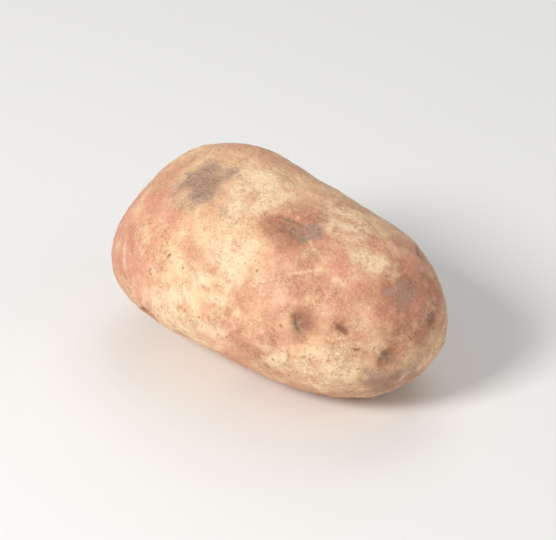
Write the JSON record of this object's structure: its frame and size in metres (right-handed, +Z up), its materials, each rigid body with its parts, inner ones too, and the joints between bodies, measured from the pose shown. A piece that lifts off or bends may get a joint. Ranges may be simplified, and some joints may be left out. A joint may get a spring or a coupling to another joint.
{
  "type": "potato",
  "caption": "Whole unpeeled potato: a long oval tuber with thin buff skin, shallow eyes and a stem scar, lying on a small flat spot.",
  "frame": {"origin": "middle of the bounding box's underside, in the plane of the flat spot that the potato rests on", "axes": "+X along the long axis, from the stem end to the bud end; +Y towards the back; +Z up, away from the flat spot"},
  "size_m": [0.1, 0.058, 0.053],
  "materials": {
    "skin": "thin dry potato skin: matt golden buff with a rosy orange mottle, fine russet netting, brown eyes and grey-brown soil dust"
  },
  "bodies": {
    "root": {"potato": "skin"}
  },
  "joints": []
}
